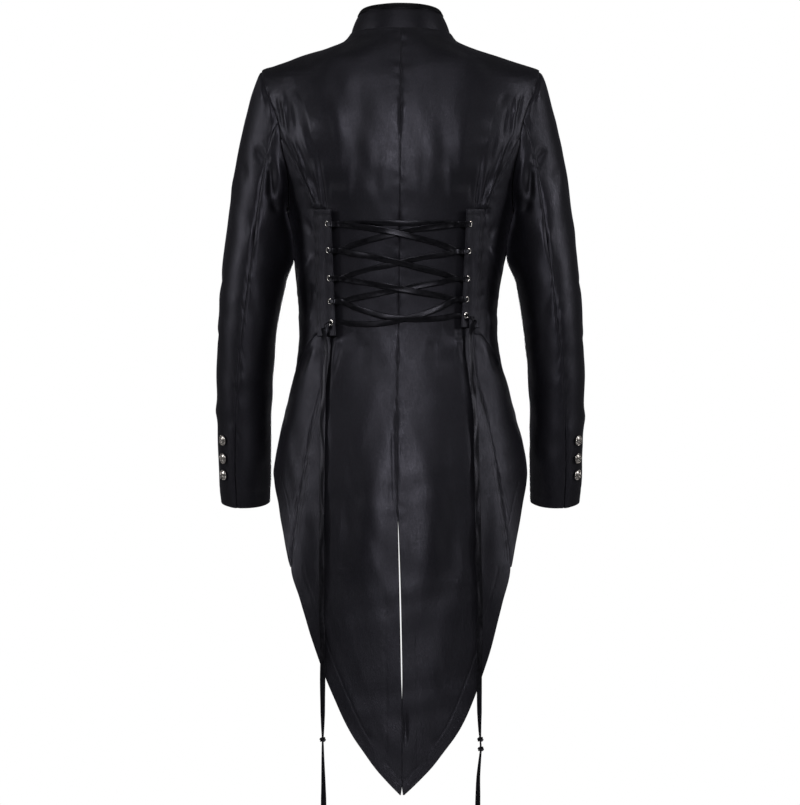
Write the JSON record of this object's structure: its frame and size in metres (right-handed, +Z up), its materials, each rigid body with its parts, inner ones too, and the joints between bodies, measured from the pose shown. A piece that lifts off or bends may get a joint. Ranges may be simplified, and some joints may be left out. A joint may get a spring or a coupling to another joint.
{
  "type": "victorian tailcoat costume",
  "caption": "Black velvet tailcoat with a stand collar, two-piece sleeves, cut-away front and long pointed tails, laced across the back with a flat ribbon.",
  "frame": {"origin": "midway between the two neck points, at the height where the coat rests on the wearer's shoulders", "axes": "+Z up along the wearer, +Y out of the coat's back, +X towards the wearer's left"},
  "size_m": [0.5166, 0.2799, 1.1075],
  "materials": {
    "velvet": "cotton velvet, black with a blue-violet grey sheen",
    "binding_satin": "black satin edge",
    "lace_satin": "black satin ribbon",
    "eyelet_metal": "polished nickel",
    "button_metal": "antique silver, domed"
  },
  "bodies": {
    "root": {"back_left": "velvet", "back_right": "velvet", "collar": "velvet", "collar_binding": "binding_satin", "cuff_button_left_1": "button_metal", "cuff_button_left_2": "button_metal", "cuff_button_left_3": "button_metal", "cuff_button_right_1": "button_metal", "cuff_button_right_2": "button_metal", "cuff_button_right_3": "button_metal", "eyelet_left_1": "eyelet_metal", "eyelet_left_2": "eyelet_metal", "eyelet_left_3": "eyelet_metal", "eyelet_left_4": "eyelet_metal", "eyelet_left_5": "eyelet_metal", "eyelet_right_1": "eyelet_metal", "eyelet_right_2": "eyelet_metal", "eyelet_right_3": "eyelet_metal", "eyelet_right_4": "eyelet_metal", "eyelet_right_5": "eyelet_metal", "front_button_1": "button_metal", "front_button_2": "button_metal", "front_button_3": "button_metal", "front_button_4": "button_metal", "front_button_5": "button_metal", "front_button_6": "button_metal", "front_left": "velvet", "front_right": "velvet", "lace": "lace_satin", "lace_end_left": "lace_satin", "lace_end_right": "lace_satin", "lace_knot_left_1": "lace_satin", "lace_knot_right_1": "lace_satin", "lace_knot_right_2": "lace_satin", "side_left": "velvet", "side_right": "velvet", "skirt_left": "velvet", "skirt_right": "velvet", "sleeve_top_left": "velvet", "sleeve_top_right": "velvet", "sleeve_under_left": "velvet", "sleeve_under_right": "velvet", "strap_left": "velvet", "strap_right": "velvet"}
  },
  "joints": []
}
